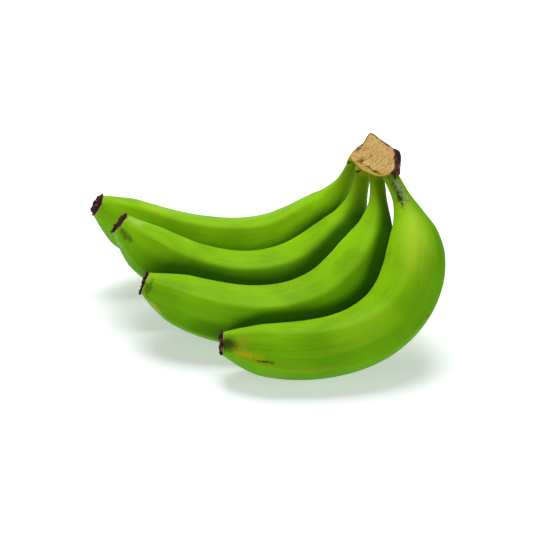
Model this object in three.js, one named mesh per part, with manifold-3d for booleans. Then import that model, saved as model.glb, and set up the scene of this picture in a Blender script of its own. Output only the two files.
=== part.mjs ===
// A hand of four green bananas, cut from its stalk and laid down: the bellies of the four
// fingers touch the table, their necks rise together into one crown, and each free end
// carries the dry remains of its flower. Millimetres, +Z up, +X towards the crown.
import * as THREE from "three";
import Module from "manifold-3d";

const wasm = await Module();
wasm.setup();

// ---- Driving dimensions ----------------------------------------------------------------

// One row for each finger. neck is where its middle line leaves the crown. The line runs
// in a plane that heads along azimuth and leans sideways from the vertical; dip is its
// first slope in that plane and turn how far it bends in all. bendShare of the turn is
// gathered round bendAt (a share of the length) over about bendSpan to each side.
// face turns the five-sided section, twist winds it along the finger. Angles in degrees.
const FINGERS = [
  { name: "banana_1", neck: [55.0, 62.7, 80.4], azimuth: 184, lean: 3.3, dip: -71, turn: 112.2,
    bendAt: 0.345, bendSpan: 0.12, bendShare: 0.31, length: 199.4, girth: 1.015, face: 18, twist: 0 },
  { name: "banana_2", neck: [59.8, 50.4, 81.8], azimuth: 186.5, lean: -21.3, dip: -81.7, turn: 134.3,
    bendAt: 0.333, bendSpan: 0.12, bendShare: 0.19, length: 201.1, girth: 0.99, face: -19, twist: 0 },
  { name: "banana_3", neck: [67.5, 37.8, 83.7], azimuth: 183.3, lean: -40.6, dip: -93.8, turn: 127.3,
    bendAt: 0.373, bendSpan: 0.26, bendShare: 0.445, length: 202.2, girth: 0.985, face: 27, twist: 10 },
  { name: "banana_4", neck: [75.3, 29.1, 89.2], azimuth: 184, lean: -48.05, dip: -114.4, turn: 128.1,
    bendAt: 0.422, bendSpan: 0.28, bendShare: 0.73, length: 199.5, girth: 0.97, face: -42, twist: 30 },
];
// Radius of the peel against the share of the length: a thin neck, a shoulder, a full
// belly and a blunt, narrowed end. The body between the two ends is scaled by girth.
const PROFILE = [
  [0, 4.6], [0.06, 5.3], [0.14, 9.9], [0.2, 15], [0.27, 18.2], [0.36, 19.5],
  [0.5, 19.1], [0.65, 18.5], [0.78, 17.6], [0.88, 15.7], [0.95, 11.3], [1, 6.9],
];
const BODY = [0.14, 0.94]; // girth scales the length between these shares, and fades out
const SIDES = 5; // a banana grows with five faces and five ridges
const CORNER = 14; // the higher, the sharper the ridges
const ANGULAR = 0.62; // 0 is a round section, 1 a flat-sided one: the faces swell a little
const STATIONS = 36; // rings along a finger
const AROUND = 40; // points round a ring, counted from the middle of a face

// Where two fingers touch they press each other flat and keep a hair of air between them.
const PRESS_GAP = 0.4;
const PRESS_SOFT = 0.8; // how softly the flat begins

// The crown: the cushion of stalk tissue that the necks grow from. It was cut across in
// one plane, through CUT_AT and square to CUT_NORMAL; ROW points along the row of necks.
const CUT_AT = [60.8, 44.0, 88.2];
const CUT_NORMAL = [-0.607, -0.165, 0.778];
const ROW = [0.506, -0.835, 0.217];
// Outline of the cut, as steps along the row and out across it.
const CUT_OUTLINE = [
  [-19.5, 20.5], [-17.5, 12], [-18.5, 3], [-9.5, -1], [-0.5, -3], [9, -3.5],
  [16.5, -3.5], [23, -1.5], [26.5, 4], [19.5, 11.5], [12.5, 17], [-6, 20.5], [-17, 22.5],
];
const CUT_MIDDLE = [2, 8.5]; // the point the outline shrinks towards, lower down
const CROWN_DROP = [4.6, 1.2, -8.0]; // from that middle to the middle of the underside
const CROWN_FOOT = [0.98, 0.6]; // underside against the cut, along and across the row
const CROWN_RINGS = 7;
const CROWN_AROUND = 60;
const SKIN = 2.5; // crown tissue left between a neck's root and the cut
const COLLAR = [1.6, 1.6, 0.7]; // crown skin round a neck: at the cut, the root, its end
const COLLAR_SKIN = 0.6; // how far under the cut a collar begins
const CLEARANCE = 0.35; // gap between a neck and its socket
const ROOT_RINGS = 6; // rings of a neck that can lie inside the crown

// Each tip ends in a shallow cup, and the dry flower remains sit in it like a button.
// Both are [out, radius] pairs, measured from the end of the middle line.
const CUP = [[0.35, 6.5], [0.3, 5.9], [-1.8, 5.7]];
const BLOSSOM = [[-1.5, 5.3], [0.5, 5.4], [0.8, 6.1], [1.4, 6], [1.9, 4.6], [2.1, 2.4]];
const BLOSSOM_LOBES = 0.08; // how deep its five lobes are, outside the cup
const TIP_SLANT = 0.18; // the end leans back towards the belly: slope of its plane

const COLOURS = { peel: "#79b51c", cut: "#c8a061", dry: "#2f1d18" };

// ---- Curves and sections ---------------------------------------------------------------

const rad = THREE.MathUtils.degToRad;
const vec = (p) => new THREE.Vector3(...p);
const UP = vec([0, 0, 1]);

// Smooth curve through [x, y] pairs that never overshoots them.
function throughPoints(pairs) {
  const x = pairs.map((p) => p[0]), y = pairs.map((p) => p[1]), n = x.length;
  const h = x.slice(1).map((v, i) => v - x[i]), s = h.map((v, i) => (y[i + 1] - y[i]) / v);
  const slope = x.map((_, i) => {
    if (i === 0 || i === n - 1) return 0;
    if (s[i - 1] * s[i] <= 0) return 0;
    const a = 2 * h[i] + h[i - 1], b = h[i] + 2 * h[i - 1];
    return (a + b) / (a / s[i - 1] + b / s[i]);
  });
  slope[0] = s[0];
  slope[n - 1] = s[n - 2];
  return (v) => {
    let i = 0;
    while (i < n - 2 && v > x[i + 1]) i++;
    const t = (v - x[i]) / h[i], u = 1 - t;
    return y[i] * (1 + 2 * t) * u * u + y[i + 1] * (3 - 2 * t) * t * t
      + h[i] * (slope[i] * t * u * u - slope[i + 1] * t * t * u);
  };
}

// Radius of a rounded regular polygon whose sides are one unit from its middle.
function softPolygon(angle) {
  let sum = 0;
  for (let k = 0; k < SIDES; k++)
    sum += Math.max(Math.cos(angle - (2 * Math.PI * k) / SIDES), 0) ** CORNER;
  return sum ** (-1 / CORNER);
}

// How much of the whole turn a finger has made by the share t of its length.
function turned(f, t) {
  const bump = (v) => Math.tanh((v - f.bendAt) / f.bendSpan);
  return f.bendShare * (bump(t) - bump(0)) / (bump(1) - bump(0)) + (1 - f.bendShare) * t;
}

// Frame of a finger at the share t: heading, inner (towards the hollow side) and side.
function frameAt(f, t) {
  const along = vec([Math.cos(rad(f.azimuth)), Math.sin(rad(f.azimuth)), 0]);
  const rise = UP.clone().multiplyScalar(Math.cos(rad(f.lean)))
    .addScaledVector(UP.clone().cross(along), Math.sin(rad(f.lean)));
  const slope = rad(f.dip + f.turn * turned(f, t));
  const mix = (a, b) => along.clone().multiplyScalar(a).addScaledVector(rise, b);
  const heading = mix(Math.cos(slope), Math.sin(slope));
  const inner = mix(-Math.sin(slope), Math.cos(slope));
  return { heading, inner, side: heading.clone().cross(inner) };
}

// Middle line of a finger, one point for each station.
function middleLine(f) {
  const points = [vec(f.neck)], step = 1 / (STATIONS - 1);
  for (let i = 1; i < STATIONS; i++)
    points.push(points[i - 1].clone()
      .addScaledVector(frameAt(f, (i - 0.5) * step).heading, f.length * step));
  return points;
}

const ring = (count, point) => Array.from({ length: count }, (_, j) => point(j, (2 * Math.PI * j) / count));
const ramp = (v, a, b) => Math.min(Math.max((v - a) / (b - a), 0), 1);

// Closed solid through a stack of rings with equal counts, fanned shut at both ends.
function loft(rings) {
  const n = rings[0].length, last = (rings.length - 1) * n, index = [];
  const points = rings.flat();
  for (let i = 0; i < last; i += n)
    for (let j = 0; j < n; j++) {
      const a = i + j, b = i + ((j + 1) % n);
      index.push(a, b, a + n, b, b + n, a + n);
    }
  for (const [first, flip] of [[0, true], [last, false]]) {
    const middle = new THREE.Vector3();
    for (let j = 0; j < n; j++) middle.addScaledVector(points[first + j], 1 / n);
    points.push(middle);
    for (let j = 0; j < n; j++) {
      const a = first + j, b = first + ((j + 1) % n);
      index.push(points.length - 1, ...(flip ? [b, a] : [a, b]));
    }
  }
  return new THREE.BufferGeometry().setFromPoints(points).setIndex(index);
}

// ---- The pieces ------------------------------------------------------------------------

const peelRadius = throughPoints(PROFILE);
const MEAN = ring(90, (j, angle) => softPolygon(angle)).reduce((a, b) => a + b) / 90;
const cutNormal = vec(CUT_NORMAL).normalize();
const rowDir = vec(ROW).addScaledVector(cutNormal, -vec(ROW).dot(cutNormal)).normalize();
const outDir = cutNormal.clone().cross(rowDir);
const cutAt = vec(CUT_AT);

const faceAngle = (f, t) => rad(f.face + f.twist * (t - 0.5));

// Radius of a finger at the share t of its length, in the direction angle round it.
// The ridges are lower on the neck and at the tip.
function radiusAt(f, t, angle) {
  const body = ramp(t, BODY[0] - 0.06, BODY[0] + 0.06) * ramp(t, BODY[1] + 0.06, BODY[1] - 0.06);
  const angular = ANGULAR * (0.3 + 0.7 * ramp(t, 0.08, 0.26) * ramp(t, 1, 0.9));
  const faces = softPolygon(angle - faceAngle(f, t)) - MEAN;
  return peelRadius(t) * (1 + (f.girth - 1) * body) * (1 + angular * faces);
}

// How deep a point lies inside a finger, judged at the nearest station.
function depthIn(f, line, p) {
  let i = 0;
  line.forEach((c, k) => { if (c.distanceToSquared(p) < line[i].distanceToSquared(p)) i = k; });
  const { heading, inner, side } = frameAt(f, i / (STATIONS - 1));
  const off = p.clone().sub(line[i]), ahead = off.dot(heading);
  const a = off.dot(inner), b = off.dot(side);
  const t = Math.min(Math.max(i / (STATIONS - 1) + ahead / f.length, 0), 1);
  return radiusAt(f, t, Math.atan2(b, a)) - Math.hypot(a, b);
}

// Rings of a finger. grow makes it fatter and longer at the root, which cuts its socket.
function fingerRings(f, grow = 0) {
  const line = middleLine(f);
  const others = FINGERS.filter((g) => g !== f).map((g) => [g, middleLine(g)]);
  const rings = line.map((centre, i) => {
    const t = i / (STATIONS - 1), at = frameAt(f, t);
    return ring(AROUND, (j, step) => {
      const angle = step + faceAngle(f, t);
      const out = at.inner.clone().multiplyScalar(Math.cos(angle))
        .addScaledVector(at.side, Math.sin(angle));
      const p = centre.clone().addScaledVector(out, radiusAt(f, t, angle));
      for (const [g, gLine] of others) {
        const over = depthIn(g, gLine, p) + PRESS_GAP;
        p.addScaledVector(out, -0.275 * (over + Math.hypot(over, PRESS_SOFT)));
      }
      const slant = TIP_SLANT * ramp(t, 0.9, 1) * p.clone().sub(centre).dot(at.inner);
      return p.addScaledVector(out, grow).addScaledVector(at.heading, slant);
    });
  });
  // The root runs on into the crown, up to a plane just under the cut.
  rings[0] = slide(f, rings[0], SKIN - grow);
  return [...rings, ...tipRings(f, CUP, AROUND)];
}

// A ring of the neck moved up along the neck, to the given depth under the cut.
function slide(f, points, depth) {
  const { heading } = frameAt(f, 0);
  return points.map((p) => {
    const way = cutAt.clone().sub(p).dot(cutNormal) - depth;
    return p.clone().addScaledVector(heading, way / heading.dot(cutNormal));
  });
}

// Rings round the end of a finger from [out, radius] pairs.
function tipRings(f, pairs, count, lobes = 0) {
  const tip = middleLine(f).at(-1), at = frameAt(f, 1);
  return pairs.map(([out, radius], i) => ring(count, (j, step) => {
    const angle = step + faceAngle(f, 1);
    const r = radius * (1 + (i > 1 ? lobes : 0) * Math.cos(SIDES * angle + i));
    return tip.clone().addScaledVector(at.heading, out + TIP_SLANT * r * Math.cos(angle))
      .addScaledVector(at.inner, r * Math.cos(angle))
      .addScaledVector(at.side, r * Math.sin(angle));
  }));
}

// The skin of the crown runs a little way down each neck, as a collar.
function collarRings(f) {
  const [cut, root, end] = COLLAR.map((grow) => fingerRings(f, grow));
  return [slide(f, cut[0], COLLAR_SKIN), slide(f, root[0], SKIN), end[1]];
}

function crownRings() {
  const outline = new THREE.CatmullRomCurve3(CUT_OUTLINE.map(([a, b]) => vec([a, b, 0])), true);
  const edge = outline.getSpacedPoints(CROWN_AROUND).slice(0, CROWN_AROUND);
  const level = outDir.clone().setZ(0).normalize();
  return Array.from({ length: CROWN_RINGS }, (_, i) => {
    const down = 1 - i / (CROWN_RINGS - 1);
    const along = 1 + (CROWN_FOOT[0] - 1) * down, across = 1 + (CROWN_FOOT[1] - 1) * Math.sqrt(down);
    const out = outDir.clone().lerp(level, down).normalize();
    return edge.map((p) => cutAt.clone()
      .addScaledVector(rowDir, CUT_MIDDLE[0]).addScaledVector(outDir, CUT_MIDDLE[1])
      .addScaledVector(vec(CROWN_DROP), down)
      .addScaledVector(rowDir, (p.x - CUT_MIDDLE[0]) * along)
      .addScaledVector(out, (p.y - CUT_MIDDLE[1]) * across));
  });
}

// ---- Sockets, cut with manifold-3d -----------------------------------------------------

function toManifold(geometry) {
  return new wasm.Manifold(new wasm.Mesh({
    numProp: 3,
    vertProperties: new Float32Array(geometry.attributes.position.array),
    triVerts: new Uint32Array(geometry.index.array),
  }));
}

function fromManifold(solid) {
  const mesh = solid.getMesh();
  return new THREE.BufferGeometry()
    .setAttribute("position", new THREE.BufferAttribute(mesh.vertProperties, 3))
    .setIndex(new THREE.BufferAttribute(mesh.triVerts, 1));
}

// ---- Assembly --------------------------------------------------------------------------

const hand = new THREE.Group();
hand.name = "banana_hand";

function add(name, geometry, colour, roughness) {
  geometry.computeVertexNormals();
  const material = new THREE.MeshStandardMaterial({ color: colour, roughness, metalness: 0 });
  const mesh = new THREE.Mesh(geometry, material);
  mesh.name = name;
  hand.add(mesh);
}

let crown = toManifold(loft(crownRings()));
FINGERS.forEach((f, i) => {
  add(f.name, loft(fingerRings(f)), COLOURS.peel, 0.42);
  add("blossom_end_" + (i + 1), loft(tipRings(f, BLOSSOM, 30, BLOSSOM_LOBES)), COLOURS.dry, 0.95);
  crown = crown.add(toManifold(loft(collarRings(f))));
});
for (const f of FINGERS)
  crown = crown.subtract(toManifold(loft(fingerRings(f, CLEARANCE).slice(0, ROOT_RINGS))));
add("crown", fromManifold(crown), COLOURS.cut, 0.85);

// Stand the hand on its lowest belly, centred over the origin.
hand.updateMatrixWorld(true);
const box = new THREE.Box3().setFromObject(hand, true);
const middle = box.getCenter(new THREE.Vector3());
hand.position.set(-middle.x, -middle.y, -box.min.z);

export default hand;
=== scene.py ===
# %% [markdown]
# # A hand of green bananas
# Four unripe bananas hang together from one crown, the cushion of stalk tissue that they
# grew from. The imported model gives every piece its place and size. This script dresses
# it: a finer mesh for each finger, a torn and fibrous crown, crumpled blossom ends, and
# materials made only of nodes.

# %% Load the frame and measure it
import math

import bpy
import numpy as np
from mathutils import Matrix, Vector, noise


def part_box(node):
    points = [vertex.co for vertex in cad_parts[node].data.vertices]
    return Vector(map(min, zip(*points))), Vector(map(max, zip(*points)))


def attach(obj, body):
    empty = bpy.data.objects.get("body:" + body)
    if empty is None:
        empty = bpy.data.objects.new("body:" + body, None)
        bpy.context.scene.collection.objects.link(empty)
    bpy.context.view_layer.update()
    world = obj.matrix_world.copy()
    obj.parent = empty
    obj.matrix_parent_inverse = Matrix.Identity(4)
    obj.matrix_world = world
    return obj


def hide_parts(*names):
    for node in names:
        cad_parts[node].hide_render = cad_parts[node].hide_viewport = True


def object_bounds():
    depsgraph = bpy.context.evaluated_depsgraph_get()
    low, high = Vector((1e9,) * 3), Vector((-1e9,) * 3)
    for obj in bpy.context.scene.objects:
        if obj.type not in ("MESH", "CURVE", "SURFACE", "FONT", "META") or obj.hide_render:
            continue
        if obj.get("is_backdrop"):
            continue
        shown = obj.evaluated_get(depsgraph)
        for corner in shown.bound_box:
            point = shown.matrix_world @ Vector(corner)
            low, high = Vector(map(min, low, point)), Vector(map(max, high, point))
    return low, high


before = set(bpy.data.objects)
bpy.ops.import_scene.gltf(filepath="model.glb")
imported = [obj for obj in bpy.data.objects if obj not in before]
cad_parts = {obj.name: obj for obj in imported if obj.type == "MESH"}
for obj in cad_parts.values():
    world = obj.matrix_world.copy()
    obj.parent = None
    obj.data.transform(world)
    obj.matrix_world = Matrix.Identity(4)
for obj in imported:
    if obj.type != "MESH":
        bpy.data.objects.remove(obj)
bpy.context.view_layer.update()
MM = 0.001  # shapes are worked out in millimetres, and Blender counts in metres
print("nodes:", sorted(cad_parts))

# %% [markdown]
# ## The camera
# The hand is seen from the front and from a little above, through a long lens, so the
# near finger is hardly bigger than the far one. The camera is placed by its angle above
# the floor and its distance from a point inside the hand, which is easier to reason about
# than raw coordinates. A track constraint could aim it, but working out the rotation once
# keeps the scene free of constraints.

# %% Camera
# The CAD moved its hand by this much, to stand it over the origin on its lowest belly.
HAND_SHIFT = np.array([1.53, -4.74, 0.09])
AIM = Vector((HAND_SHIFT + (0, 0, 43)) * MM)
ELEVATION = math.radians(31)
DISTANCE = 1.1
SENSOR_WIDTH, FOCAL_LENGTH = 36, 122.6
back = Vector((0, -math.cos(ELEVATION), math.sin(ELEVATION)))

lens = bpy.data.cameras.new("camera")
lens.sensor_width = SENSOR_WIDTH
lens.lens = FOCAL_LENGTH
camera = bpy.data.objects.new("camera", lens)
bpy.context.scene.collection.objects.link(camera)
camera.location = AIM + back * DISTANCE
camera.rotation_euler = (-back).to_track_quat("-Z", "Y").to_euler()
bpy.context.scene.camera = camera
print("camera at", [round(x, 3) for x in camera.location])

# %% [markdown]
# ## Floor and light
# The fruit lies on a light table, a white sheet that glows a little from below. That
# keeps the shadows pale, and it lifts the bellies with a weak light from underneath. One
# wide panel hangs above and a little behind, so the upper faces are bright and the faces
# between the fingers fall into deep green. Three weak panels stand low, in front and to
# both sides, and keep the near faces from going dull. Small lamps could do the same, but
# wide panels give soft shadows. The colours are shown as they are, with the Standard
# view, because a film-like view would grey the strong green.

# %% Floor, world and lamps
FLOOR = 3.0  # metres from the middle to each side
FLOOR_FINISH = {"Base Color": (0.8, 0.81, 0.82, 1), "Roughness": 0.9, "Specular IOR Level": 0.1,
                "Emission Color": (0.97, 0.99, 1, 1), "Emission Strength": 0.38}
ROOM_LIGHT = {"Color": (1, 1, 1, 1), "Strength": 0.16}
LAMP_AIM = Vector((0, 0, 0.03))
# Each panel: where it hangs, how wide it is in metres, and its power in watts.
PANELS = {"overhead_panel": ((0, 0.47, 0.95), 0.7, 12.2),
          "low_panel": ((-0.2, -1.3, 0.3), 1.0, 4.5),
          "left_panel": ((-1.2, -0.6, 0.25), 0.8, 5),
          "right_panel": ((1.2, -0.5, 0.3), 0.8, 4)}

floor_mesh = bpy.data.meshes.new("floor")
floor_mesh.from_pydata(
    [(-FLOOR, -FLOOR, 0), (FLOOR, -FLOOR, 0), (FLOOR, FLOOR, 0), (-FLOOR, FLOOR, 0)],
    [], [(0, 1, 2, 3)])
floor = bpy.data.objects.new("floor", floor_mesh)
bpy.context.scene.collection.objects.link(floor)
floor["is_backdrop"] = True
floor_paint = bpy.data.materials.new("floor")
floor_paint.use_nodes = True
floor_shader = floor_paint.node_tree.nodes["Principled BSDF"]
for key, value in FLOOR_FINISH.items():
    floor_shader.inputs[key].default_value = value
floor_mesh.materials.append(floor_paint)

world = bpy.data.worlds.new("room")
world.use_nodes = True
for key, value in ROOM_LIGHT.items():
    world.node_tree.nodes["Background"].inputs[key].default_value = value
bpy.context.scene.world = world
bpy.context.scene.view_settings.view_transform = "Standard"

for name, (at, size, power) in PANELS.items():
    lamp = bpy.data.lights.new(name, "AREA")
    lamp.shape = "SQUARE"
    lamp.size = size
    lamp.energy = power
    holder = bpy.data.objects.new(name, lamp)
    bpy.context.scene.collection.objects.link(holder)
    holder.location = at
    holder.rotation_euler = (LAMP_AIM - Vector(at)).to_track_quat("-Z", "Y").to_euler()
print("lamps:", len(PANELS))

# %% [markdown]
# ## The shape of a finger
# A banana is a tube swept along a bent line. The neck drops from the crown, most of the
# bend comes at the shoulder, and the tip sweeps up again. Its section is five-sided with
# rounded corners, which gives the fruit its long ridges, and the flats fade out towards
# the neck and the tip. A curve with a bevel could make the sweep, but it can't change
# its section along the way, so each ring of points is worked out here and the rings are
# joined into one skin. The numbers are the CAD's own, in millimetres and degrees. Only
# the nearest finger's ridges are softer here, as the real ones are.
#
# In the table, a finger sets off from its neck in the direction of azimuth, sloping by
# dip. It bends by turn in a plane that leans over by lean, and bend_share of the bend
# comes close to bend_at. The flats start at the angle face and wind round by twist.

# %% The four fingers and the profile that they share
FINGERS = {
    "banana_1": dict(neck=(55.0, 62.7, 80.4), azimuth=184, lean=3.3, dip=-71, turn=112.2,
                     bend_at=0.345, bend_span=0.12, bend_share=0.31, length=199.4,
                     girth=1.015, face=18, twist=0),
    "banana_2": dict(neck=(59.8, 50.4, 81.8), azimuth=186.5, lean=-21.3, dip=-81.7,
                     turn=134.3, bend_at=0.333, bend_span=0.12, bend_share=0.19,
                     length=201.1, girth=0.99, face=-19, twist=0),
    "banana_3": dict(neck=(67.5, 37.8, 83.7), azimuth=183.3, lean=-40.6, dip=-93.8,
                     turn=127.3, bend_at=0.373, bend_span=0.26, bend_share=0.445,
                     length=202.2, girth=0.985, face=27, twist=10),
    "banana_4": dict(neck=(75.3, 29.1, 89.2), azimuth=184, lean=-48.05, dip=-114.4,
                     turn=128.1, bend_at=0.422, bend_span=0.28, bend_share=0.73,
                     length=199.5, girth=0.97, face=-42, twist=30, ridges=0.6),
}
# Radius at each share of the length.
PROFILE = [(0, 4.6), (0.06, 5.3), (0.14, 9.9), (0.2, 15), (0.27, 18.2), (0.36, 19.5),
           (0.5, 19.1), (0.65, 18.5), (0.78, 17.6), (0.88, 15.7), (0.95, 11.3), (1, 6.9)]
BODY, BODY_FADE = (0.14, 0.94), 0.06  # the stretch that girth makes thicker or thinner
SIDES = 5
CORNER = 14  # the higher, the sharper the corners of the section
ANGULAR, END_ANGULAR = 0.62, 0.3  # how angular the middle is, and what share the ends keep
TIP_SLANT = 0.18  # how much further out the inner side of the tip reaches
# How two fingers give way: mm kept between them, mm of soft start, share that each takes.
PRESS_GAP, PRESS_SOFT, PRESS_SHARE = 0.4, 0.8, 0.275
STATIONS, CHUNK = 100, 4000  # steps and batch size of the depth test
print("lengths in mm:", [f["length"] for f in FINGERS.values()])


# %% Curves: a smooth line through given points, and the soft five-sided section
def through_points(pairs):
    """A smooth curve through (x, y) pairs that never overshoots them."""
    x, y = (np.array(v, float) for v in zip(*pairs))
    h, n = np.diff(x), len(x)
    s = np.diff(y) / h
    slope = np.zeros(n)
    for i in range(1, n - 1):
        if s[i - 1] * s[i] > 0:
            a, b = 2 * h[i] + h[i - 1], h[i] + 2 * h[i - 1]
            slope[i] = (a + b) / (a / s[i - 1] + b / s[i])
    slope[0], slope[-1] = s[0], s[-1]

    def curve(v):
        v = np.asarray(v, float)
        i = np.clip(np.searchsorted(x, v, "right") - 1, 0, n - 2)
        t = (v - x[i]) / h[i]
        u = 1 - t
        return (y[i] * (1 + 2 * t) * u * u + y[i + 1] * (3 - 2 * t) * t * t
                + h[i] * (slope[i] * t * u * u - slope[i + 1] * t * t * u))
    return curve


def soft_polygon(angle):
    """Radius of a rounded regular polygon whose sides are one unit from its middle."""
    total = sum(np.maximum(np.cos(angle - 2 * np.pi * k / SIDES), 0) ** CORNER
                for k in range(SIDES))
    return total ** (-1 / CORNER)


def ramp(v, a, b):
    """Straight rise from 0 at a to 1 at b, level on both sides."""
    return np.clip((v - a) / (b - a), 0, 1)


peel_radius = through_points(PROFILE)
MEAN = soft_polygon(np.linspace(0, 2 * np.pi, 90, endpoint=False)).mean()
print("belly radius in mm:", round(float(peel_radius(0.36)), 1))


# %% Frames along a finger
def turned(f, t):
    """Share of the whole bend that is done by each share t of the length."""
    start, now, end = (np.tanh((v - f["bend_at"]) / f["bend_span"]) for v in (0, t, 1))
    share = f["bend_share"]
    return share * (now - start) / (end - start) + (1 - share) * t


def frames(f, t):
    """Heading, inner and side directions of a finger, one row for each share t."""
    a, lean = np.radians(f["azimuth"]), np.radians(f["lean"])
    along = np.array([np.cos(a), np.sin(a), 0])
    rise = np.cos(lean) * np.array([0, 0, 1]) + np.sin(lean) * np.cross([0, 0, 1], along)
    slope = np.radians(f["dip"] + f["turn"] * turned(f, np.asarray(t)))[:, None]
    heading = np.cos(slope) * along + np.sin(slope) * rise
    inner = -np.sin(slope) * along + np.cos(slope) * rise
    return heading, inner, np.cross(heading, inner)


def middle_line(f, count):
    """Points down the middle of a finger, in even steps."""
    half = (np.arange(count - 1) + 0.5) / (count - 1)
    steps = frames(f, half)[0] * f["length"] / (count - 1)
    return np.vstack([[0, 0, 0], np.cumsum(steps, 0)]) + np.array(f["neck"])


def face_angle(f, t):
    """Where the first flat lies round the finger."""
    return np.radians(f["face"] + f["twist"] * (t - 0.5))


def radius_at(f, t, angle):
    """Radius in a direction round the finger; the ridges are lower at both ends."""
    body = ramp(t, BODY[0] - BODY_FADE, BODY[0] + BODY_FADE)
    body = body * ramp(t, BODY[1] + BODY_FADE, BODY[1] - BODY_FADE)
    middle = ramp(t, 0.08, 0.26) * ramp(t, 1, 0.9)
    angular = ANGULAR * (END_ANGULAR + (1 - END_ANGULAR) * middle) * f.get("ridges", 1)
    faces = soft_polygon(angle - face_angle(f, t)) - MEAN
    return peel_radius(t) * (1 + (f["girth"] - 1) * body) * (1 + angular * faces)


def depth_in(f, points):
    """How deep each point lies inside a finger, judged at the nearest station."""
    line = middle_line(f, STATIONS)
    near = np.empty(len(points), int)
    for start in range(0, len(points), CHUNK):
        part = points[start:start + CHUNK]
        near[start:start + CHUNK] = ((part[:, None] - line) ** 2).sum(-1).argmin(1)
    t = near / (STATIONS - 1)
    heading, inner, side = frames(f, t)
    off = points - line[near]
    a, b = (off * inner).sum(1), (off * side).sum(1)
    t = np.clip(t + (off * heading).sum(1) / f["length"], 0, 1)
    return radius_at(f, t, np.arctan2(b, a)) - np.hypot(a, b)


print("tips in mm:", [middle_line(f, 60)[-1].round(1).tolist() for f in FINGERS.values()])

# %% [markdown]
# ## From numbers to a skin
# A ring of points is one row of a grid, and a grid of rings closes into a tube when the
# last point of a row joins the first. Each end is shut with a small fan. The same
# helper makes the fingers, the crown and the blossom ends, so all of them are watertight.
# Named values are kept on every point of the mesh. On a finger they say how far along and
# how far round a point lies, how close it is to a ridge and how near the next finger is.
# The materials read them, so a streak can follow the fruit instead of a straight axis.

# %% Helpers that build a mesh from rings
def tube(name, rings, values):
    """A closed object from rings (rows, points, xyz) in mm, with named point values."""
    rows, count = rings.shape[:2]
    points = rings.reshape(-1, 3)
    middles = rings[[0, -1]].mean(1)
    i, j = np.meshgrid(np.arange(rows - 1), np.arange(count), indexing="ij")
    a, b = i * count + j, i * count + (j + 1) % count
    faces = np.stack([a, b, b + count, a + count], -1).reshape(-1, 4).tolist()
    total, last = rows * count, (rows - 1) * count
    for k in range(count):
        n = (k + 1) % count
        faces.append((total, n, k))
        faces.append((total + 1, last + k, last + n))
    mesh = bpy.data.meshes.new(name)
    mesh.from_pydata((np.vstack([points, middles]) * MM).tolist(), [], faces)
    mesh.polygons.foreach_set("use_smooth", [True] * len(mesh.polygons))
    for key, grid in values.items():
        ends = [grid[0].mean(), grid[-1].mean()]
        layer = mesh.attributes.new(key, "FLOAT", "POINT")
        layer.data.foreach_set("value", np.append(grid.reshape(-1), ends).astype(np.float32))
    mesh.update()
    piece = bpy.data.objects.new(name, mesh)
    bpy.context.scene.collection.objects.link(piece)
    return piece


def lumps(points, size, seed):
    """Smooth noise from -1 to 1 at each point; size is that of one lump, in mm."""
    shift = Vector((seed * 17.3, seed * 5.1, seed * 9.7))
    flat = points.reshape(-1, 3) / size
    out = np.array([noise.noise(Vector(p) + shift) for p in flat])
    return out.reshape(points.shape[:-1])


def mesh_box(piece):
    """Lowest and highest corner of a piece, in metres."""
    co = np.empty(len(piece.data.vertices) * 3)
    piece.data.vertices.foreach_get("co", co)
    co = co.reshape(-1, 3)
    return co.min(0), co.max(0)


print("one ring of", SIDES, "soft sides:", soft_polygon(np.radians([0, 36])).round(3))

# %% [markdown]
# ## Four fingers
# Each finger has so many rings that the crest of a ridge, the soft dents of a real fruit
# and the pleats round its tip are true geometry and not only shading. Where two fingers
# lie against each other both give way a little, as they do while they grow: every point
# that would come too near the neighbour moves back along its own ring. The neck runs up
# into the crown and stops a little under the cut, and the tip ends in a shallow cup that
# holds the dry flower.

# %% Rings of a finger
ROWS, AROUND = 221, 120
steps = np.linspace(0, 2 * np.pi, AROUND, endpoint=False)
PLEAT, CREST, CREST_WIDTH = 0.13, 0.4, 0.11  # heights in mm, width in radians
NEAR_REACH = 10  # mm over which the nearness to the next finger fades
CUT_AT = np.array([60.8, 44.0, 88.2])  # a point on the cut face of the crown
cut_normal = np.array([-0.607, -0.165, 0.778])
cut_normal /= np.linalg.norm(cut_normal)
SKIN = 2.5  # mm of crown left between a neck and the cut
# Rings of the cup: how far out from the end of the middle line, and their radius.
CUP = [(0.25, 6.85), (0.5, 6.5), (0.42, 6.05), (0, 5.8), (-0.9, 5.75), (-1.8, 5.6)]


def tip_ring(f, out, radius, angle):
    """Points round the end of a finger, some way out from the end of its middle line."""
    tip = middle_line(f, ROWS)[-1]
    heading, inner, side = (v[0] for v in frames(f, [1.0]))
    round_dir = np.cos(angle)[..., None] * (inner + TIP_SLANT * heading)
    round_dir += np.sin(angle)[..., None] * side
    return tip + np.asarray(out)[..., None] * heading + np.asarray(radius)[..., None] * round_dir


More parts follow.
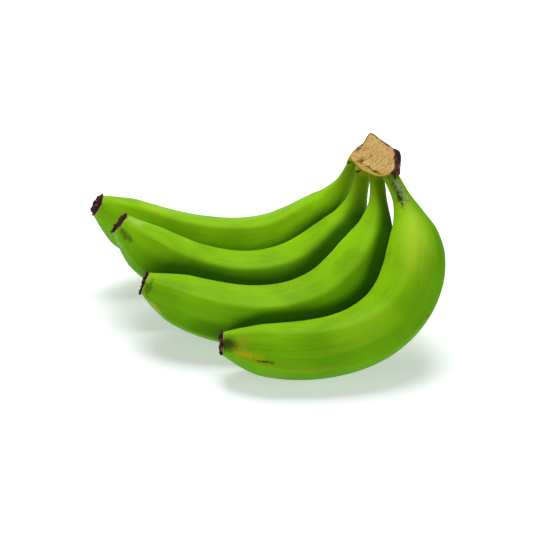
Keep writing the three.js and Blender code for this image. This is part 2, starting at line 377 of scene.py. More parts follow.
def finger_rings(name):
    """All the rings of one finger, and the values that its points carry."""
    f = FINGERS[name]
    t = np.linspace(0, 1, ROWS)
    line = middle_line(f, ROWS)
    heading, inner, side = frames(f, t)
    tt, step = np.meshgrid(t, steps, indexing="ij")
    aa = step + face_angle(f, tt)
    out = np.cos(aa)[..., None] * inner[:, None] + np.sin(aa)[..., None] * side[:, None]
    radius = radius_at(f, tt, aa)
    pleats = np.cos(2 * SIDES * step + 3 * np.sin(2 * step)) + 0.6 * np.cos(23 * step)
    radius += PLEAT * pleats * ramp(tt, 0.93, 0.99)
    crest = np.exp(-((step % (2 * np.pi / SIDES) - np.pi / SIDES) / CREST_WIDTH) ** 2)
    radius += CREST * f.get("ridges", 1) * crest * ramp(tt, 0.14, 0.3) * ramp(tt, 1.0, 0.93)
    points = line[:, None] + radius[..., None] * out
    # Give way to the neighbours, and note how near those further along the row are; the peel
    # paints shade from that nearness.
    flat = points.reshape(-1, 3)
    push, near = np.zeros(len(flat)), np.full(len(flat), -99.0)
    for other, g in FINGERS.items():
        if other != name:
            over = depth_in(g, flat) + PRESS_GAP
            push += PRESS_SHARE * (over + np.hypot(over, PRESS_SOFT))
            if other > name:
                near = np.maximum(near, over)
    push = push.reshape(tt.shape)
    near = np.exp(np.minimum(near, 0) / NEAR_REACH).reshape(tt.shape)
    dents = 0.22 * lumps(points, 22, 3) + 0.10 * lumps(points, 9, 5)
    points += (dents * ramp(tt, 0, 0.2) - push)[..., None] * out
    # Slant the tip, end the neck just under the cut, and close the tip with its cup.
    slant = TIP_SLANT * ramp(tt, 0.9, 1) * ((points - line[:, None]) * inner[:, None]).sum(2)
    points += slant[..., None] * heading[:, None]
    depth = (CUT_AT - points[0]) @ cut_normal - SKIN
    points[0] += (depth / (heading[0] @ cut_normal))[:, None] * heading[0]
    cup = np.array([tip_ring(f, np.full(AROUND, out_mm), cup_radius + PLEAT * pleats[-1], aa[-1])
                    for out_mm, cup_radius in CUP])
    ridge = ((soft_polygon(step) - 1) / (soft_polygon(np.pi / SIDES) - 1)) ** 3

    def grown(grid, value=None):
        """A value's grid with rows for the cup: its last row again, or one given value."""
        rest = np.repeat(grid[-1:], len(CUP), 0)
        return np.vstack([grid, rest if value is None else rest * 0 + value])

    return np.vstack([points, cup]), dict(
        along=grown(tt, 1.02), round_x=grown(np.cos(aa)), round_y=grown(np.sin(aa)),
        ridge=grown(ridge), near=grown(near))


print("each finger:", ROWS + len(CUP), "rings of", AROUND, "points")

# %% Build the fingers
fingers = {}
for name in FINGERS:
    points, values = finger_rings(name)
    points += HAND_SHIFT
    points[..., 2] = np.maximum(points[..., 2], 0)  # a ridge lies flat on the floor
    piece = tube(name + "_peel", points, values)
    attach(piece, "root")
    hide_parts(name)
    fingers[name] = piece
    low, high = mesh_box(piece)
    off = np.abs(np.array([low, high]) - np.array(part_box(name))).max() / MM
    print(name, len(piece.data.polygons), "faces; off its CAD box by", round(float(off), 2), "mm")

# %% [markdown]
# ## The crown
# When a hand is cut from the stalk the crown keeps a flat, fibrous face. It stands at a
# slant, higher on the outside of the hand, and its outline follows the row of necks. The
# crown is one skin of rings: they climb the flank from the underside to the rim of the
# cut, then run in over the cut to its middle. That way the rim can be ragged, and the
# torn fibres of the cut, its crack and its one small pit can be raised from the same
# mesh. A sculpted block could look the same, but it would not follow the necks.

# %% Outline of the cut
ROW = np.array([0.506, -0.835, 0.217])  # the way that the row of necks runs
# Corners of the cut in mm: along the row, and out across it.
CUT_OUTLINE = [(-19.5, 20.5), (-17.5, 12), (-18.5, 3), (-9.5, -1), (-0.5, -3), (9, -3.5),
               (16.5, -3.5), (23, -1.5), (26.5, 4), (19.5, 11.5), (12.5, 17), (-6, 20.5),
               (-17, 22.5)]
CUT_MIDDLE = np.array([2, 8.5])
CROWN_DROP = np.array([4.6, 1.2, -8.0])  # from the middle of the cut to the underside
FOOT_ALONG, FOOT_ACROSS = 0.98, 0.6  # size of the underside, as shares of the cut
FOOT_ROUND, FOOT_FROM = 0.12, 0.7  # how much its lowest edge turns in, and from where
CROWN_AROUND, FLANK_ROWS, CUT_ROWS = 240, 34, 44
row_dir = ROW - (ROW @ cut_normal) * cut_normal
row_dir /= np.linalg.norm(row_dir)
out_dir = np.cross(cut_normal, row_dir)
level = np.array([out_dir[0], out_dir[1], 0]) / np.hypot(out_dir[0], out_dir[1])


def closed_curve(corners, count):
    """A smooth closed line through the corners, in even steps."""
    p = np.array(corners, float)
    fine = []
    for i in range(len(p)):
        a, b, c, d = (p[(i + k) % len(p)] for k in (-1, 0, 1, 2))
        u = np.linspace(0, 1, 40, endpoint=False)[:, None]
        fine.append(0.5 * (2 * b + (c - a) * u + (2 * a - 5 * b + 4 * c - d) * u ** 2
                           + (3 * b - a - 3 * c + d) * u ** 3))
    fine = np.vstack([*fine, fine[0][:1]])
    way = np.append(0, np.cumsum(np.hypot(*np.diff(fine, axis=0).T)))
    at = np.linspace(0, way[-1], count, endpoint=False)
    return np.stack([np.interp(at, way, fine[:, k]) for k in (0, 1)], -1)


edge = closed_curve(CUT_OUTLINE, CROWN_AROUND) - CUT_MIDDLE
print("cut face:", np.ptp(edge, axis=0).round(1), "mm along and across the row")


# %% Rings of the crown
# How far the skin stands off a neck (second row) at each depth under the cut (first row).
SLEEVE = ([0, 1, 3, 5.5, 7], [-0.4, 0.35, 0.55, 0.1, -0.8])
SLEEVE_END, SLEEVE_STEPS = 8, 16  # mm under the cut where it stops, and rounds of pushing
BULGE, BULGE_AT, BULGE_WIDTH = 4.2, np.array([13.5, 16.0]), 8  # dried skin past the rim
# The tear in the cut: how far inwards of the middle it runs and how much it wanders, the
# drop of the ledge beyond it, and the depth and width of its crack.
TEAR_AT, TEAR_SWING, LEDGE_DROP, CRACK_DEPTH, CRACK_WIDTH = 7.3, 1.1, 0.7, 0.9, 0.5
PIT_AT, PIT_SIZE = (-9.5, -5.6), (1.7, 1.3)  # along the row and across it


def crown_rings():
    """All the rings of the crown, and the values that its points carry."""
    middle = CUT_AT + CUT_MIDDLE[0] * row_dir + CUT_MIDDLE[1] * out_dir
    rows, middles, height = [], [], []
    for down in np.linspace(1, 0, FLANK_ROWS):
        turn_in = 1 - FOOT_ROUND * (max(down - FOOT_FROM, 0) / (1 - FOOT_FROM)) ** 2
        along = (1 + (FOOT_ALONG - 1) * down) * turn_in
        across = (1 + (FOOT_ACROSS - 1) * math.sqrt(down)) * turn_in
        out = out_dir * (1 - down) + level * down
        out /= np.linalg.norm(out)
        middles.append(middle + CROWN_DROP * down)
        rows.append(middles[-1] + edge[:, :1] * along * row_dir + edge[:, 1:] * across * out)
        height.append(1 - down)
    for inward in np.linspace(0.985, 0.02, CUT_ROWS):
        rows.append(middle + edge[:, :1] * inward * row_dir + edge[:, 1:] * inward * out_dir)
        middles.append(middle)
        height.append(2 - inward)
    points, middles = np.array(rows), np.array(middles)[:, None]
    height = np.array(height)[:, None] + np.zeros(CROWN_AROUND)
    cut = (height > 1).astype(float)
    away = points - middles
    away /= np.linalg.norm(away, axis=2, keepdims=True)
    # Skin runs down onto each neck: points inside a neck move out to a little above it.
    flank = points[:FLANK_ROWS].reshape(-1, 3)
    way = away[:FLANK_ROWS].reshape(-1, 3)
    for _ in range(SLEEVE_STEPS):
        depth = (CUT_AT - flank) @ cut_normal
        over = np.max([depth_in(f, flank) for f in FINGERS.values()], 0)
        over += np.interp(depth, *SLEEVE)
        flank = flank + (0.6 * np.maximum(over, 0) * (depth < SLEEVE_END))[:, None] * way
    points[:FLANK_ROWS] = flank.reshape(FLANK_ROWS, CROWN_AROUND, 3)
    # Flank: soft lumps, and the swelling of dried skin at the near outer corner.
    soft = 0.8 * lumps(points, 7, 1) + 0.35 * lumps(points, 2.5, 2)
    place = np.stack([(points - middle) @ row_dir, (points - middle) @ out_dir], -1)
    side = np.exp(-((place + CUT_MIDDLE - BULGE_AT) ** 2).sum(2) / BULGE_WIDTH ** 2)
    depth = (middle - points) @ cut_normal
    soft += BULGE * side * ramp(depth, -0.2, 1.6) * ramp(depth, 13, 5)
    points += (soft * (1 - cut) * ramp(height, 1, 0.85))[..., None] * away
    # Cut: torn fibres that run out across the stalk, then a ledge with a crack and a pit.
    grain = points @ np.stack([row_dir, 0.3 * out_dir, cut_normal], 1)
    torn = 0.8 * lumps(points, 5, 8) + 0.6 * lumps(grain, 1.9, 9) + 0.35 * lumps(grain, 0.8, 10)
    row, out = (points - middle) @ row_dir, (points - middle) @ out_dir
    line = out + TEAR_AT + 0.12 * (row + 8) + TEAR_SWING * lumps(points, 4, 14)
    line = np.where(row < -13, line + 0.6 * (-13 - row), line)
    ledge = -LEDGE_DROP * ramp(line, 0.4, -0.4)
    crack = np.exp(-((line / CRACK_WIDTH) ** 2)) * ramp(lumps(points, 3, 15), -0.25, 0.2)
    pit_row, pit_out = (row - PIT_AT[0]) / PIT_SIZE[0], (out - PIT_AT[1]) / PIT_SIZE[1]
    pit = np.exp(-pit_row ** 2 - pit_out ** 2)
    crack = np.clip(crack * ramp(row, 17, 12) + pit, 0, 1) * ramp(height, 1.01, 1.06)
    rim = 0.35 * np.exp(-((height - 1) / 0.03) ** 2) * (1 + lumps(points, 2.5, 13))
    lift = (torn + ledge * ramp(height, 1.0, 1.05) - CRACK_DEPTH * crack) * cut + rim
    points += lift[..., None] * cut_normal
    return points, dict(height=height, crack=crack, row_mm=row, out_mm=out,
                        depth_mm=(middle - points) @ cut_normal)


print("crown:", FLANK_ROWS, "rings up the flank and", CUT_ROWS, "over the cut")

# %% Build the crown
points, values = crown_rings()
crown = tube("crown_tissue", points + HAND_SHIFT, values)
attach(crown, "root")
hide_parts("crown")
print("crown:", len(crown.data.polygons), "faces; CAD box",
      (np.array(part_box("crown")) / MM).round(1).tolist(), "mesh",
      (np.array(mesh_box(crown)) / MM).round(1).tolist())

# %% [markdown]
# ## Blossom ends
# Each tip keeps the dry stub of its flower: a dark, crumpled button with five shrivelled
# lobes and a hollow middle. A displace modifier could roughen it. Here a noise moves the
# points outwards and along the finger, so the outline is ragged and the foot, which sits
# in the cup of the tip, stays smooth.

# %% Rings of a blossom end
# Radius from the foot, 0, to the open end, 1. The rings then turn in to the hollow.
STUB = through_points([(0, 5.2), (0.3, 5.4), (0.42, 6.2), (0.6, 6.7), (0.8, 6.3), (0.93, 5.2),
                       (1, 3.9)])
STUB_MOUTH, HOLLOW = 3.9, 0.25  # radius where the hollow starts and where it ends
HOLLOW_DEPTH = 0.45  # as a share of the stub's length
STUB_FROM, STUB_TO = -1.5, 2.4  # mm out from the end of the finger's middle line
STUB_ROWS, STUB_AROUND = 54, 130
LOBE, CREASE, WRINKLE = 0.18, 1.7, 1.1  # a share of the radius, then two heights in mm
stub_steps = np.linspace(0, 2 * np.pi, STUB_AROUND, endpoint=False)


def blossom_rings(name, seed):
    """All the rings of one blossom end, and the value that its points carry."""
    f = FINGERS[name]
    heading = frames(f, [1.0])[0][0]
    ss, aa = np.meshgrid(np.linspace(0, 1.5, STUB_ROWS), stub_steps, indexing="ij")
    face = ramp(ss, 1, 1.5)
    mouth = STUB_MOUTH * (1 - face) + HOLLOW * face
    radius = np.where(ss < 1, STUB(np.clip(ss, 0, 1)), mouth)
    lobes = LOBE * np.cos(SIDES * aa + 0.8 * np.sin(2 * aa + seed)) * ramp(ss, 0.4, 0.7)
    radius = radius * (1 + lobes * (1 - face))
    out = STUB_FROM + (STUB_TO - STUB_FROM) * (np.clip(ss, 0, 1) - HOLLOW_DEPTH * face)
    points = tip_ring(f, out, radius, aa + face_angle(f, 1.0))
    way = points - tip_ring(f, out, radius * 0, aa)
    way = 0.7 * way / np.linalg.norm(way, axis=2, keepdims=True) + 0.5 * heading
    crumple = CREASE * lumps(points, 3.2, seed) + WRINKLE * lumps(points, 1.3, seed + 4)
    points += (crumple * ramp(ss, 0.3, 0.55))[..., None] * way
    return points, dict(fold=lumps(points, 1.3, seed + 7))


print("each blossom end:", STUB_ROWS, "rings of", STUB_AROUND, "points")

# %% Build the blossom ends
stubs = []
for seed, name in enumerate(FINGERS, 1):
    points, values = blossom_rings(name, seed)
    stub = tube(name.replace("banana", "blossom") + "_stub", points + HAND_SHIFT, values)
    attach(stub, "root")
    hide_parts(name.replace("banana", "blossom_end"))
    stubs.append(stub)
    print(stub.name, "box", (np.array(mesh_box(stub)) / MM).round(1).tolist())

# %% [markdown]
# ## Shared effects
# All the colours come from nodes. Effects that more than one material needs are kept as
# node groups with named sockets, and each of them gives back only a mask or a value.
# Copying the nodes into every material would work too, but then a change has to be made
# in four places. The long grain of a peel is noise stretched along the finger. It reads the
# point values stored with the mesh: the share of the length, and the cosine and sine of
# the angle round it, so there is no seam where the ring closes.

# %% Node helpers
def node(tree, kind, inputs=None, **settings):
    """Add a shader node; an input is a value or the socket to link from."""
    made = tree.nodes.new("ShaderNode" + kind)
    for key, value in settings.items():
        setattr(made, key, value)
    for key, value in (inputs or {}).items():
        if isinstance(value, bpy.types.NodeSocket):
            tree.links.new(value, made.inputs[key])
        else:
            made.inputs[key].default_value = value
    return made


def math_node(tree, operation, *values):
    """One sum of a Math node; each value is a number or a socket."""
    return node(tree, "Math", dict(enumerate(values)), operation=operation).outputs[0]


def mix_colour(tree, factor, a, b, blend="MIX"):
    """From colour a to colour b; each input is a value or a socket."""
    made = node(tree, "Mix", data_type="RGBA", blend_type=blend)
    # The sockets of a Mix node that are for colours have these places.
    for socket, value in zip([made.inputs[i] for i in (0, 6, 7)], (factor, a, b)):
        if isinstance(value, bpy.types.NodeSocket):
            tree.links.new(value, socket)
        else:
            socket.default_value = value
    return made.outputs[2]


def soft_step(tree, value, low, high):
    """A soft rise from 0 at low to 1 at high; low may be the larger of the two."""
    made = node(tree, "MapRange", {"Value": value, "From Min": low, "From Max": high},
                interpolation_type="SMOOTHSTEP")
    return made.outputs["Result"]


def attribute(tree, name):
    """A value that is stored on the points of the mesh."""
    return node(tree, "Attribute", attribute_name=name).outputs["Fac"]


def srgb(*values):
    """A screen colour in 0 to 255, as the linear colour that the nodes use."""
    c = [v / 255 for v in values]
    return (*(v / 12.92 if v <= 0.04045 else ((v + 0.055) / 1.055) ** 2.4 for v in c), 1)


def node_group(name, inputs, outputs):
    """A new group of number sockets: inputs with their usual values, and named outputs."""
    tree = bpy.data.node_groups.new(name, "ShaderNodeTree")
    for key, value in inputs.items():
        socket = tree.interface.new_socket(key, in_out="INPUT", socket_type="NodeSocketFloat")
        socket.default_value = value
    for key in outputs:
        tree.interface.new_socket(key, in_out="OUTPUT", socket_type="NodeSocketFloat")
    return tree, tree.nodes.new("NodeGroupInput").outputs, tree.nodes.new("NodeGroupOutput").inputs


def use(tree, group, **inputs):
    """Place a group; an underscore in a keyword stands for the space in a socket name."""
    made = tree.nodes.new("ShaderNodeGroup")
    made.node_tree = group
    for key, value in inputs.items():
        socket = made.inputs[key.replace("_", " ")]
        if isinstance(value, bpy.types.NodeSocket):
            tree.links.new(value, socket)
        else:
            socket.default_value = value
    return made.outputs


print("a mid green in linear light:", [round(v, 3) for v in srgb(118, 176, 10)])

# %% Effect: grain that runs along a finger
grain_tree, grain_in, grain_out = node_group(
    "Finger grain", {"Fineness": 14.0, "Stretch": 3.0, "Detail": 4.0}, ["Grain"])
spot = node(grain_tree, "CombineXYZ", {
    "X": math_node(grain_tree, "MULTIPLY", attribute(grain_tree, "round_x"), grain_in["Fineness"]),
    "Y": math_node(grain_tree, "MULTIPLY", attribute(grain_tree, "round_y"), grain_in["Fineness"]),
    "Z": math_node(grain_tree, "MULTIPLY", attribute(grain_tree, "along"), grain_in["Stretch"])})
streaks = node(grain_tree, "TexNoise", {
    "Vector": spot.outputs[0], "Scale": 1.0, "Detail": grain_in["Detail"], "Roughness": 0.6})
grain_tree.links.new(streaks.outputs["Fac"], grain_out["Grain"])
print("effect:", grain_tree.name)

# %% [markdown]
# ## Marks and painted highlights on the skin
# Rub marks, scratches and stains are all patches with a ragged edge, and so are the painted
# highlights. Each is laid round a point on the finger, given by the share of the length and the
# angle round it: 0 is the hollow side and -90 the side towards the camera. The distance from that
# point, measured in half lengths and half widths, is roughened by a noise and cut off softly.
# Painting a texture could place them too, but a group with numbers can be moved and used again.

# %% Effect: one ragged patch at a chosen place on a finger
patch_tree, patch_in, patch_out = node_group(
    "Ragged patch", {"At": 0.5, "Angle": 0.0, "Half length": 0.05, "Half width": 0.2,
                     "Raggedness": 0.5, "Softness": 0.35, "Grain size": 300.0}, ["Mask"])
along_off = math_node(patch_tree, "SUBTRACT", attribute(patch_tree, "along"), patch_in["At"])
angle = math_node(patch_tree, "RADIANS", patch_in["Angle"])
round_off = [math_node(patch_tree, "SUBTRACT", attribute(patch_tree, key),
                       math_node(patch_tree, turn, angle))
             for key, turn in (("round_x", "COSINE"), ("round_y", "SINE"))]
chord = math_node(patch_tree, "SQRT", math_node(
    patch_tree, "ADD", *[math_node(patch_tree, "MULTIPLY", v, v) for v in round_off]))
lengths_off = math_node(patch_tree, "DIVIDE", along_off, patch_in["Half length"])
widths_off = math_node(patch_tree, "DIVIDE", chord, patch_in["Half width"])
reach = math_node(patch_tree, "SQRT", math_node(
    patch_tree, "ADD",
    *[math_node(patch_tree, "MULTIPLY", v, v) for v in (lengths_off, widths_off)]))
rag = node(patch_tree, "TexNoise", {
    "Vector": node(patch_tree, "TexCoord").outputs["Object"],
    "Scale": patch_in["Grain size"], "Detail": 5.0, "Roughness": 0.65})
rag = math_node(patch_tree, "MULTIPLY_ADD", rag.outputs["Fac"], 4.0, -2.0)
reach = math_node(patch_tree, "MULTIPLY_ADD", rag, patch_in["Raggedness"], reach)
RIM = 1.05  # the mask is 0 beyond this reach
inside = math_node(patch_tree, "SUBTRACT", RIM, patch_in["Softness"])
patch_tree.links.new(soft_step(patch_tree, reach, RIM, inside), patch_out["Mask"])
print("effect:", patch_tree.name)

# %% [markdown]
# ## The peel
# Unripe peel is a waxy green skin over long fibres. Painted light makes it yellower on the hollow
# side, which faces up, and deeper green underneath. Painted shade makes it darkest where it lies
# close against the next finger. It is a little yellower along the ridges, and dull olive on the
# neck. A weak gloss lies on it, broken up by the grain. A clear coat would give it more shine than
# green peel has. Every finger has its own marks as well: rub marks, a brown scratch, a stain of
# dried sap. The near finger also has painted highlights on its shoulder and down its middle.

# %% Peel material
# Painted light: the second green is the lit copy and the first is the shaded copy of the peel
# green; the fourth green is painted shade between the fingers.
GREEN_DEEP = srgb(92, 156, 6)
GREEN_PAINTED_LIT = srgb(140, 194, 14)
GREEN_NECK = srgb(112, 146, 10)
GREEN_PAINTED_SHADE = srgb(40, 88, 1)
RIDGE_TINT, TIP_STRAW = srgb(150, 185, 30), srgb(168, 158, 84)
MOTTLE_DARK, MOTTLE_LIGHT = srgb(224, 227, 212), srgb(255, 255, 255)
ON_RIDGE = "ridge"  # stands in for a mark's strength where only the crest is rubbed


def peel_material(name, marks_and_highlights, shade):
    """The peel of one finger; each patch is (colour, strength, roughness, patch settings), for a
    rub, scratch or stain or for a painted highlight.
    """
    material = bpy.data.materials.new(name)
    material.use_nodes = True
    tree = material.node_tree
    shader = tree.nodes["Principled BSDF"]
    along, ridge = attribute(tree, "along"), attribute(tree, "ridge")
    fine = use(tree, grain_tree, Fineness=30.0, Stretch=5.0)["Grain"]
    broad = use(tree, grain_tree, Fineness=3.0, Stretch=3.0, Detail=3.0)["Grain"]
    place = node(tree, "TexCoord").outputs["Object"]
    cloud = node(tree, "TexNoise", {"Vector": place, "Scale": 45.0, "Detail": 5.0}).outputs["Fac"]
    # Painted light: yellower on the hollow side, which faces up to the light, and deeper green as
    # painted shade on the other side, with random tone from the broad grain. The ridges are
    # yellower too.
    painted_lit_side = math_node(tree, "MULTIPLY_ADD", attribute(tree, "round_x"), 0.2, 0.3)
    painted_lit_side = math_node(tree, "MULTIPLY_ADD", broad, 0.4, painted_lit_side)
    colour = mix_colour(tree, soft_step(tree, painted_lit_side, 0.1, 0.9), GREEN_DEEP, GREEN_PAINTED_LIT)
    colour = mix_colour(tree, math_node(tree, "MULTIPLY", ridge, 0.1), colour, RIDGE_TINT)
    # Fine mottling along the fibres.
    mottle = math_node(tree, "MULTIPLY_ADD", cloud, 0.55, math_node(tree, "MULTIPLY", fine, 0.45))
    mottle = mix_colour(tree, soft_step(tree, mottle, 0.36, 0.6), MOTTLE_DARK, MOTTLE_LIGHT)
    colour = mix_colour(tree, 1.0, colour, mottle, "MULTIPLY")
    # Painted shade: deep green where the next finger lies close, fading out towards the tip.
    painted_crease_shade = math_node(tree, "MULTIPLY", soft_step(tree, attribute(tree, "near"), *shade),
                       soft_step(tree, along, 0.94, 0.8))
    colour = mix_colour(tree, math_node(tree, "MULTIPLY", painted_crease_shade, 0.92), colour, GREEN_PAINTED_SHADE)
    # The neck is duller, and the last of the tip dries to a straw colour.
    neck = soft_step(tree, along, 0.15, 0.04)
    colour = mix_colour(tree, math_node(tree, "MULTIPLY", neck, 0.7), colour, GREEN_NECK)
    dried = math_node(tree, "MULTIPLY_ADD", cloud, 0.03, along)
    colour = mix_colour(tree, soft_step(tree, dried, 1.016, 1.026), colour, TIP_STRAW)
    # The gloss is uneven along the grain, and a mark brings its own roughness.
    rough = math_node(tree, "MULTIPLY_ADD", fine, 0.2, 0.4)
    for patch_colour, strength, patch_roughness, settings in marks_and_highlights:
        mask = use(tree, patch_tree, **settings)["Mask"]
        if strength == ON_RIDGE:
            mask = math_node(tree, "MULTIPLY", mask, soft_step(tree, ridge, 0.6, 1.0))
        else:
            mask = math_node(tree, "MULTIPLY", mask, strength)
        colour = mix_colour(tree, mask, colour, patch_colour)
        rough = math_node(tree, "MULTIPLY_ADD", math_node(tree, "SUBTRACT", patch_roughness, rough),
                          mask, rough)
    tree.links.new(colour, shader.inputs["Base Color"])
    tree.links.new(rough, shader.inputs["Roughness"])
    shader.inputs["Specular IOR Level"].default_value = 0.03
    height = math_node(tree, "MULTIPLY_ADD", cloud, 0.8, fine)
    bump = node(tree, "Bump", {"Height": height, "Strength": 0.3, "Distance": 0.0004})
    tree.links.new(bump.outputs["Normal"], shader.inputs["Normal"])
    return material


def patch(at, angle, half_length, half_width, raggedness, softness, grain_size):
    """Settings for one ragged patch; the half width is a chord of the unit circle."""
    return dict(At=at, Angle=float(angle), Half_length=half_length, Half_width=half_width,
                Raggedness=raggedness, Softness=softness, Grain_size=grain_size)


BROWN, SILVER, SMEAR = srgb(84, 64, 10), srgb(182, 196, 140), srgb(46, 56, 16)
OLIVE = srgb(158, 150, 34)
MARKS_AND_HIGHLIGHTS = {
    "banana_1": [
        (srgb(196, 184, 52), 0.4, 0.5, patch(0.83, 3, 0.08, 0.28, 0.3, 0.9, 80.0))],
    "banana_2": [
        (OLIVE, 0.7, 0.7, patch(0.0, -95, 0.022, 1.3, 0.3, 0.8, 250.0)),
        (SILVER, 0.4, 0.6, patch(0.968, -25, 0.03, 0.45, 1.3, 0.9, 400.0)),
        (SILVER, 0.4, 0.6, patch(0.975, -148, 0.025, 0.3, 1.3, 0.9, 400.0)),
        (SMEAR, 0.7, 0.6, patch(0.975, -100, 0.034, 0.32, 0.6, 0.9, 200.0))],
    "banana_3": [
        (OLIVE, 0.5, 0.7, patch(0.0, -95, 0.018, 1.3, 0.3, 0.8, 250.0)),
        (srgb(176, 164, 70), 0.6, 0.6, patch(0.945, -150, 0.035, 0.17, 0.6, 0.6, 300.0)),
        (srgb(60, 52, 24), 0.6, 0.7, patch(0.985, -112, 0.012, 0.7, 1.4, 0.6, 700.0))],
    "banana_4": [
        # Painted highlight: a broad light patch on the near finger's shoulder, on the side towards
        # the camera.
        (srgb(182, 214, 50), 0.48, 0.45, patch(0.22, -86, 0.19, 0.9, 0.2, 0.95, 30.0)),
        # Painted highlight: a broad, soft light band down the middle of the near finger.
        (srgb(158, 206, 36), 0.35, 0.45, patch(0.58, -88, 0.15, 0.8, 0.2, 0.95, 30.0)),
        (srgb(190, 160, 16), 0.7, 0.5, patch(0.928, -124, 0.05, 0.3, 0.4, 0.95, 120.0)),
        (srgb(150, 140, 30), 0.45, 0.6, patch(0.955, -100, 0.04, 0.6, 0.6, 0.9, 120.0)),
        (SMEAR, 0.9, 0.6, patch(1.0, -104, 0.05, 0.9, 0.4, 0.95, 90.0)),
        (srgb(118, 142, 10), ON_RIDGE, 0.6, patch(0.76, -138, 0.14, 0.35, 0.7, 0.8, 300.0)),
        (BROWN, 0.9, 0.7, patch(0.876, -131, 0.036, 0.06, 1.0, 0.6, 600.0)),
        (BROWN, 0.7, 0.7, patch(0.425, -151, 0.006, 0.05, 0.5, 0.4, 600.0)),
        (srgb(44, 52, 16), 0.75, 0.8, patch(0.055, -76, 0.075, 0.8, 0.45, 0.9, 260.0)),
        (srgb(160, 168, 140), 0.45, 0.8, patch(0.05, -92, 0.05, 0.35, 1.8, 0.5, 800.0)),
        (srgb(24, 22, 14), 0.8, 0.8, patch(0.085, -66, 0.035, 0.16, 1.6, 0.5, 600.0))],
}
# How near the next finger must be for the painted shade on the peel to start and to finish.
SHADE = {"banana_1": (0.26, 0.62), "banana_2": (0.12, 0.42), "banana_3": (0.32, 0.56),
         "banana_4": (0.3, 0.7)}
for name, piece in fingers.items():
    piece.data.materials.append(peel_material(name + "_peel", MARKS_AND_HIGHLIGHTS[name], SHADE[name]))
print("marks:", {name: len(marks_and_highlights) for name, marks_and_highlights in MARKS_AND_HIGHLIGHTS.items()})

# %% [markdown]
# ## The crown's finishes
# The cut has dried to a tan, fibrous face, with darker lines where the strands of the stalk were
# torn, a rusty blush towards the outer rim, and a crack near the inner one with a small pit. The
# crack and the pit are painted dark brown as painted shade in their grooves. The flank is brown on
# the outside of the hand and still yellow-green on the inside. Past the near outer corner hangs a
# strip of skin that dried almost black, with a pale hem. One material holds them all, because they
# run into each other; the stored places, in mm along the row, out across it and down from the cut,
# say where each lies.

# %% Crown material: the patterns
crown_skin = bpy.data.materials.new("crown_tissue")
crown_skin.use_nodes = True
tree = crown_skin.node_tree
shader = tree.nodes["Principled BSDF"]
row, out, depth = (attribute(tree, key) for key in ("row_mm", "out_mm", "depth_mm"))
height = attribute(tree, "height")
place = node(tree, "TexCoord").outputs["Object"]
lay = node(tree, "CombineXYZ", {"X": math_node(tree, "MULTIPLY_ADD", out, 0.25, row),
                                "Y": math_node(tree, "MULTIPLY", out, 0.22),
                                "Z": 0.0}).outputs[0]
strands = node(tree, "TexNoise", {"Vector": lay, "Scale": 1.6, "Detail": 6.0,
                                  "Roughness": 0.7}).outputs["Fac"]
spots = node(tree, "TexNoise", {"Vector": place, "Scale": 300.0, "Detail": 5.0,
                                "Roughness": 0.65}).outputs["Fac"]
stains = node(tree, "TexNoise", {"Vector": place, "Scale": 90.0, "Detail": 3.0}).outputs["Fac"]
print("crown patterns: strands, spots and stains")

# %% Crown material: the cut
tan = mix_colour(tree, soft_step(tree, strands, 0.36, 0.58), srgb(162, 120, 56),
                 srgb(216, 186, 114))
tan = mix_colour(tree, math_node(tree, "MULTIPLY", soft_step(tree, spots, 0.5, 0.66), 0.6), tan,
                 srgb(166, 116, 54))
tan = mix_colour(tree, math_node(tree, "MULTIPLY", soft_step(tree, stains, 0.55, 0.75), 0.6), tan,
                 srgb(204, 132, 66))
blush = math_node(tree, "MULTIPLY", soft_step(tree, height, 1.3, 1.04),
                  soft_step(tree, out, 0.0, 5.0))
blush = math_node(tree, "MULTIPLY", blush, soft_step(tree, stains, 0.35, 0.6))
tan = mix_colour(tree, math_node(tree, "MULTIPLY", blush, 0.7), tan, srgb(196, 128, 78))
# Painted shade: the crack and the pit are painted dark brown.
tan = mix_colour(tree, attribute(tree, "crack"), tan, srgb(70, 42, 16))
print("cut: tan strands, blush and crack")

# %% Crown material: the flank and the dried strip
# Flank: green like the necks, yellow next to the inner rim, brown on the outside.
outside = soft_step(tree, math_node(tree, "MULTIPLY_ADD", stains, 8.0, out), 2.0, 8.0)
green = mix_colour(tree, soft_step(tree, spots, 0.35, 0.65), GREEN_NECK, srgb(96, 130, 10))
yellow = soft_step(tree, math_node(tree, "MULTIPLY_ADD", spots, 2.0, depth), 3.4, 1.6)
flank = mix_colour(tree, math_node(tree, "MULTIPLY", yellow, 0.9), green, srgb(178, 160, 44))
bark = mix_colour(tree, soft_step(tree, strands, 0.35, 0.65), srgb(74, 46, 26), srgb(130, 92, 52))
bark = mix_colour(tree, soft_step(tree, spots, 0.5, 0.7), bark, srgb(96, 84, 34))
flank = mix_colour(tree, math_node(tree, "MULTIPLY", outside, 0.85), flank, bark)
# The dried strip, round the near outer corner.
corner = math_node(tree, "MULTIPLY_ADD", row, 0.75, out)
corner = math_node(tree, "MULTIPLY_ADD", spots, 2.0, corner)
strip = soft_step(tree, corner, 10.0, 12.0)
dry_skin = mix_colour(tree, soft_step(tree, spots, 0.42, 0.62), srgb(54, 26, 20),
                      srgb(138, 74, 52))
dry_skin = mix_colour(tree, soft_step(tree, corner, 16.5, 19.0), dry_skin, srgb(24, 16, 14))
low = math_node(tree, "MULTIPLY_ADD", spots, 3.0, depth)
dry_skin = mix_colour(tree, soft_step(tree, low, 8.6, 10.0), dry_skin, srgb(92, 74, 44))
hem = math_node(tree, "MULTIPLY", soft_step(tree, low, 7.2, 7.8), soft_step(tree, low, 9.0, 8.3))
dry_skin = mix_colour(tree, math_node(tree, "MULTIPLY", hem, 0.7), dry_skin, srgb(160, 154, 136))
flank = mix_colour(tree, strip, flank, dry_skin)
print("flank: green, yellow, bark and dried strip")

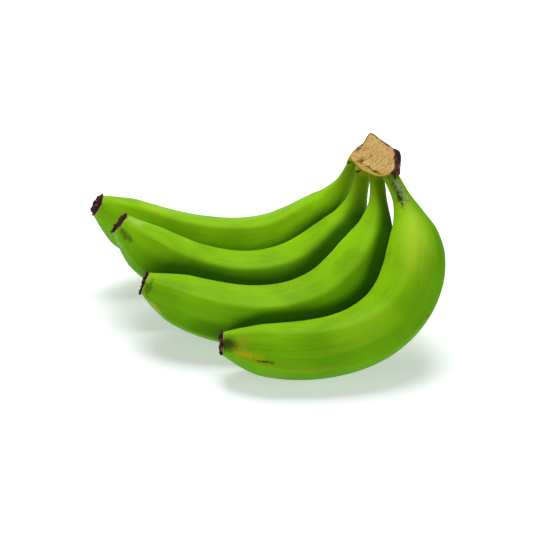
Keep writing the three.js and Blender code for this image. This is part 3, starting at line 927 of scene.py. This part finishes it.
# %% Crown material: the rim, and the whole put together
colour = mix_colour(tree, soft_step(tree, height, 0.985, 1.015), flank, tan)
edge_line = math_node(tree, "MULTIPLY", soft_step(tree, height, 0.95, 0.99),
                      soft_step(tree, height, 1.05, 1.01))
edge_line = math_node(tree, "MULTIPLY", edge_line, soft_step(tree, out, -3.0, 2.0))
edge_line = math_node(tree, "MULTIPLY", edge_line, soft_step(tree, spots, 0.42, 0.52))
colour = mix_colour(tree, math_node(tree, "MULTIPLY", edge_line, 0.9), colour, srgb(66, 38, 22))
tree.links.new(colour, shader.inputs["Base Color"])
shader.inputs["Roughness"].default_value = 0.85
shader.inputs["Specular IOR Level"].default_value = 0.2
relief = math_node(tree, "MULTIPLY_ADD", spots, 0.6, strands)
bump = node(tree, "Bump", {"Height": relief, "Strength": 0.8, "Distance": 0.0012})
tree.links.new(bump.outputs["Normal"], shader.inputs["Normal"])
crown.data.materials.append(crown_skin)
print("crown material:", len(tree.nodes), "nodes")

# %% [markdown]
# ## The dry flower remains
# They are almost black, with reddish folds and pale, papery flecks. A second noise, kept
# on the points, gathers the flecks in places, as wear does. A glossy finish would look
# wet, so both are left dull.

# %% Blossom material
dry = bpy.data.materials.new("dry_blossom")
dry.use_nodes = True
tree = dry.node_tree
shader = tree.nodes["Principled BSDF"]
place = node(tree, "TexCoord").outputs["Object"]
flakes = node(tree, "TexNoise", {"Vector": place, "Scale": 520.0, "Detail": 5.0,
                                 "Roughness": 0.7}).outputs["Fac"]
colour = mix_colour(tree, soft_step(tree, flakes, 0.38, 0.62), srgb(16, 9, 9), srgb(74, 38, 32))
worn = math_node(tree, "MULTIPLY_ADD", attribute(tree, "fold"), 0.25, flakes)
colour = mix_colour(tree, soft_step(tree, worn, 0.63, 0.74), colour, srgb(170, 128, 114))
tree.links.new(colour, shader.inputs["Base Color"])
shader.inputs["Roughness"].default_value = 0.8
shader.inputs["Specular IOR Level"].default_value = 0.12
bump = node(tree, "Bump", {"Height": flakes, "Strength": 0.8, "Distance": 0.001})
tree.links.new(bump.outputs["Normal"], shader.inputs["Normal"])
for stub in stubs:
    stub.data.materials.append(dry)
print("blossom ends:", len(stubs))

# %% [markdown]
# The outer size of the dressed model is printed, in mm.

# %% Measure the visual model and finish
low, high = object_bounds()
print("visual box in mm:", [round(x / MM, 1) for x in (*low, *high)])
